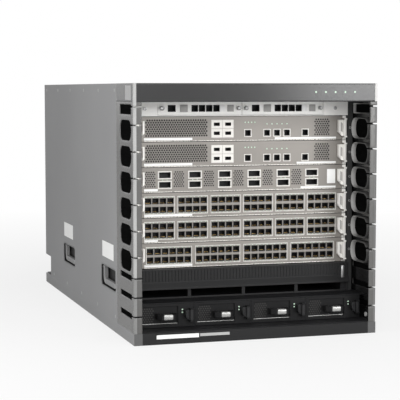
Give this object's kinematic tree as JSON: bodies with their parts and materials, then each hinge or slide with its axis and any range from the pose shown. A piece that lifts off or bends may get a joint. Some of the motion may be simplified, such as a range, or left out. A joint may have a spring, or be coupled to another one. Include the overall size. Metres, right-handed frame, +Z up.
{
  "type": "modular ethernet switch chassis",
  "caption": "Modular ethernet switch chassis with slide-in cards, ejector levers, power modules, cable combs, carry handles and rear fan trays.",
  "frame": {"origin": "middle of the underside of the base", "axes": "+Z up, the card faces look along -Y, +X to the right of the front"},
  "size_m": [0.442, 0.813, 0.442],
  "materials": {
    "charcoal_paint": "satin",
    "comb_plastic": "satin",
    "side_paint": "satin",
    "zinc_steel": "brushed",
    "control_white": "satin",
    "circuit_board": "satin",
    "card_silver": "satin",
    "lever_silver": "satin",
    "black_plastic": "matte",
    "module_black": "matte"
  },
  "bodies": {
    "chassis": {"base_tray": "side_paint", "power_bay": "module_black", "power_inlets": "black_plastic", "left_side_panel": "side_paint", "right_side_panel": "side_paint", "cage_left_wall": "zinc_steel", "cage_right_wall": "zinc_steel", "left_cable_comb": "comb_plastic", "right_cable_comb": "comb_plastic", "top_cover": "side_paint", "control_shelf": "control_white", "midplane_board": "circuit_board", "front_bezel": "charcoal_paint", "handle_cups": "black_plastic", "fabric_modules": "card_silver"},
    "processor_card_1": {"processor_card_1_panel": "card_silver", "processor_card_1_board": "circuit_board"},
    "processor_card_1_left_lever": {"processor_card_1_left_lever": "lever_silver"},
    "processor_card_1_right_lever": {"processor_card_1_right_lever": "lever_silver"},
    "processor_card_2": {"processor_card_2_panel": "card_silver", "processor_card_2_board": "circuit_board"},
    "processor_card_2_left_lever": {"processor_card_2_left_lever": "lever_silver"},
    "processor_card_2_right_lever": {"processor_card_2_right_lever": "lever_silver"},
    "line_card_1": {"line_card_1_panel": "card_silver", "line_card_1_board": "circuit_board"},
    "line_card_1_left_lever": {"line_card_1_left_lever": "lever_silver"},
    "line_card_1_right_lever": {"line_card_1_right_lever": "lever_silver"},
    "line_card_2": {"line_card_2_panel": "card_silver", "line_card_2_board": "circuit_board"},
    "line_card_2_left_lever": {"line_card_2_left_lever": "lever_silver"},
    "line_card_2_right_lever": {"line_card_2_right_lever": "lever_silver"},
    "line_card_3": {"line_card_3_panel": "card_silver", "line_card_3_board": "circuit_board"},
    "line_card_3_left_lever": {"line_card_3_left_lever": "lever_silver"},
    "line_card_3_right_lever": {"line_card_3_right_lever": "lever_silver"},
    "line_card_4": {"line_card_4_panel": "card_silver", "line_card_4_board": "circuit_board"},
    "line_card_4_left_lever": {"line_card_4_left_lever": "lever_silver"},
    "line_card_4_right_lever": {"line_card_4_right_lever": "lever_silver"},
    "control_module_1": {"control_module_1": "control_white"},
    "control_module_2": {"control_module_2": "control_white"},
    "power_module_1": {"power_module_1": "module_black"},
    "power_latch_1": {"power_latch_1": "black_plastic"},
    "power_module_2": {"power_module_2": "module_black"},
    "power_latch_2": {"power_latch_2": "black_plastic"},
    "power_module_3": {"power_module_3": "module_black"},
    "power_latch_3": {"power_latch_3": "black_plastic"},
    "power_module_4": {"power_module_4": "module_black"},
    "power_latch_4": {"power_latch_4": "black_plastic"},
    "intake_filter": {"intake_filter": "charcoal_paint"},
    "left_front_handle": {"left_front_handle": "comb_plastic"},
    "left_rear_handle": {"left_rear_handle": "comb_plastic"},
    "right_front_handle": {"right_front_handle": "comb_plastic"},
    "right_rear_handle": {"right_rear_handle": "comb_plastic"},
    "fan_tray_left": {"fan_tray_left": "module_black"},
    "fan_rotor_left_1": {"fan_rotor_left_1": "black_plastic"},
    "fan_rotor_left_2": {"fan_rotor_left_2": "black_plastic"},
    "fan_tray_right": {"fan_tray_right": "module_black"},
    "fan_rotor_right_1": {"fan_rotor_right_1": "black_plastic"},
    "fan_rotor_right_2": {"fan_rotor_right_2": "black_plastic"}
  },
  "joints": [
    {"name": "processor_card_1_slide", "type": "slide", "parent": "chassis", "child": "processor_card_1", "axis": [0, -1, 0], "range_m": [0, 0.43]},
    {"name": "processor_card_1_left_lever_swing", "type": "hinge", "parent": "processor_card_1", "child": "processor_card_1_left_lever", "pos_m": [-0.1945, -0.3225, 0.36238], "axis": [0, 0, -1], "range_deg": [0, 70]},
    {"name": "processor_card_1_right_lever_swing", "type": "hinge", "parent": "processor_card_1", "child": "processor_card_1_right_lever", "pos_m": [0.1945, -0.3225, 0.36238], "axis": [0, 0, 1], "range_deg": [0, 70]},
    {"name": "processor_card_2_slide", "type": "slide", "parent": "chassis", "child": "processor_card_2", "axis": [0, -1, 0], "range_m": [0, 0.43]},
    {"name": "processor_card_2_left_lever_swing", "type": "hinge", "parent": "processor_card_2", "child": "processor_card_2_left_lever", "pos_m": [-0.1945, -0.3225, 0.31793], "axis": [0, 0, -1], "range_deg": [0, 70]},
    {"name": "processor_card_2_right_lever_swing", "type": "hinge", "parent": "processor_card_2", "child": "processor_card_2_right_lever", "pos_m": [0.1945, -0.3225, 0.31793], "axis": [0, 0, 1], "range_deg": [0, 70]},
    {"name": "line_card_1_slide", "type": "slide", "parent": "chassis", "child": "line_card_1", "axis": [0, -1, 0], "range_m": [0, 0.43]},
    {"name": "line_card_1_left_lever_swing", "type": "hinge", "parent": "line_card_1", "child": "line_card_1_left_lever", "pos_m": [-0.1945, -0.3225, 0.27348], "axis": [0, 0, -1], "range_deg": [0, 70]},
    {"name": "line_card_1_right_lever_swing", "type": "hinge", "parent": "line_card_1", "child": "line_card_1_right_lever", "pos_m": [0.1945, -0.3225, 0.27348], "axis": [0, 0, 1], "range_deg": [0, 70]},
    {"name": "line_card_2_slide", "type": "slide", "parent": "chassis", "child": "line_card_2", "axis": [0, -1, 0], "range_m": [0, 0.43]},
    {"name": "line_card_2_left_lever_swing", "type": "hinge", "parent": "line_card_2", "child": "line_card_2_left_lever", "pos_m": [-0.1945, -0.3225, 0.22903], "axis": [0, 0, -1], "range_deg": [0, 70]},
    {"name": "line_card_2_right_lever_swing", "type": "hinge", "parent": "line_card_2", "child": "line_card_2_right_lever", "pos_m": [0.1945, -0.3225, 0.22903], "axis": [0, 0, 1], "range_deg": [0, 70]},
    {"name": "line_card_3_slide", "type": "slide", "parent": "chassis", "child": "line_card_3", "axis": [0, -1, 0], "range_m": [0, 0.43]},
    {"name": "line_card_3_left_lever_swing", "type": "hinge", "parent": "line_card_3", "child": "line_card_3_left_lever", "pos_m": [-0.1945, -0.3225, 0.18458], "axis": [0, 0, -1], "range_deg": [0, 70]},
    {"name": "line_card_3_right_lever_swing", "type": "hinge", "parent": "line_card_3", "child": "line_card_3_right_lever", "pos_m": [0.1945, -0.3225, 0.18458], "axis": [0, 0, 1], "range_deg": [0, 70]},
    {"name": "line_card_4_slide", "type": "slide", "parent": "chassis", "child": "line_card_4", "axis": [0, -1, 0], "range_m": [0, 0.43]},
    {"name": "line_card_4_left_lever_swing", "type": "hinge", "parent": "line_card_4", "child": "line_card_4_left_lever", "pos_m": [-0.1945, -0.3225, 0.14012], "axis": [0, 0, -1], "range_deg": [0, 70]},
    {"name": "line_card_4_right_lever_swing", "type": "hinge", "parent": "line_card_4", "child": "line_card_4_right_lever", "pos_m": [0.1945, -0.3225, 0.14012], "axis": [0, 0, 1], "range_deg": [0, 70]},
    {"name": "control_module_1_slide", "type": "slide", "parent": "chassis", "child": "control_module_1", "axis": [0, -1, 0], "range_m": [0, 0.2]},
    {"name": "control_module_2_slide", "type": "slide", "parent": "chassis", "child": "control_module_2", "axis": [0, -1, 0], "range_m": [0, 0.2]},
    {"name": "power_module_1_slide", "type": "slide", "parent": "chassis", "child": "power_module_1", "axis": [0, -1, 0], "range_m": [0, 0.5]},
    {"name": "power_latch_1_press", "type": "hinge", "parent": "power_module_1", "child": "power_latch_1", "pos_m": [-0.1096, -0.3725, 0.04225], "axis": [0, 0, 1], "range_deg": [0, 35], "stiffness_Nm_per_rad": 0.2},
    {"name": "power_module_2_slide", "type": "slide", "parent": "chassis", "child": "power_module_2", "axis": [0, -1, 0], "range_m": [0, 0.5]},
    {"name": "power_latch_2_press", "type": "hinge", "parent": "power_module_2", "child": "power_latch_2", "pos_m": [-0.00625, -0.3725, 0.04225], "axis": [0, 0, 1], "range_deg": [0, 35], "stiffness_Nm_per_rad": 0.2},
    {"name": "power_module_3_slide", "type": "slide", "parent": "chassis", "child": "power_module_3", "axis": [0, -1, 0], "range_m": [0, 0.5]},
    {"name": "power_latch_3_press", "type": "hinge", "parent": "power_module_3", "child": "power_latch_3", "pos_m": [0.0971, -0.3725, 0.04225], "axis": [0, 0, 1], "range_deg": [0, 35], "stiffness_Nm_per_rad": 0.2},
    {"name": "power_module_4_slide", "type": "slide", "parent": "chassis", "child": "power_module_4", "axis": [0, -1, 0], "range_m": [0, 0.5]},
    {"name": "power_latch_4_press", "type": "hinge", "parent": "power_module_4", "child": "power_latch_4", "pos_m": [0.20045, -0.3725, 0.04225], "axis": [0, 0, 1], "range_deg": [0, 35], "stiffness_Nm_per_rad": 0.2},
    {"name": "intake_filter_slide", "type": "slide", "parent": "chassis", "child": "intake_filter", "axis": [0, -1, 0], "range_m": [0, 0.13]},
    {"name": "left_front_handle_swing", "type": "hinge", "parent": "chassis", "child": "left_front_handle", "pos_m": [-0.2145, -0.2155, 0.1045], "axis": [0, 1, 0], "range_deg": [0, 90]},
    {"name": "left_rear_handle_swing", "type": "hinge", "parent": "chassis", "child": "left_rear_handle", "pos_m": [-0.2145, 0.1425, 0.1045], "axis": [0, 1, 0], "range_deg": [0, 90]},
    {"name": "right_front_handle_swing", "type": "hinge", "parent": "chassis", "child": "right_front_handle", "pos_m": [0.2145, -0.2155, 0.1045], "axis": [0, -1, 0], "range_deg": [0, 90]},
    {"name": "right_rear_handle_swing", "type": "hinge", "parent": "chassis", "child": "right_rear_handle", "pos_m": [0.2145, 0.1425, 0.1045], "axis": [0, -1, 0], "range_deg": [0, 90]},
    {"name": "fan_tray_left_slide", "type": "slide", "parent": "chassis", "child": "fan_tray_left", "axis": [0, 1, 0], "range_m": [0, 0.12]},
    {"name": "fan_rotor_left_1_spin", "type": "hinge", "parent": "fan_tray_left", "child": "fan_rotor_left_1", "pos_m": [-0.14425, 0.3865, 0.1625], "axis": [0, 1, 0], "continuous": true},
    {"name": "fan_rotor_left_2_spin", "type": "hinge", "parent": "fan_tray_left", "child": "fan_rotor_left_2", "pos_m": [-0.14425, 0.3865, 0.3305], "axis": [0, 1, 0], "continuous": true},
    {"name": "fan_tray_right_slide", "type": "slide", "parent": "chassis", "child": "fan_tray_right", "axis": [0, 1, 0], "range_m": [0, 0.12]},
    {"name": "fan_rotor_right_1_spin", "type": "hinge", "parent": "fan_tray_right", "child": "fan_rotor_right_1", "pos_m": [0.14425, 0.3865, 0.1625], "axis": [0, 1, 0], "continuous": true},
    {"name": "fan_rotor_right_2_spin", "type": "hinge", "parent": "fan_tray_right", "child": "fan_rotor_right_2", "pos_m": [0.14425, 0.3865, 0.3305], "axis": [0, 1, 0], "continuous": true}
  ]
}
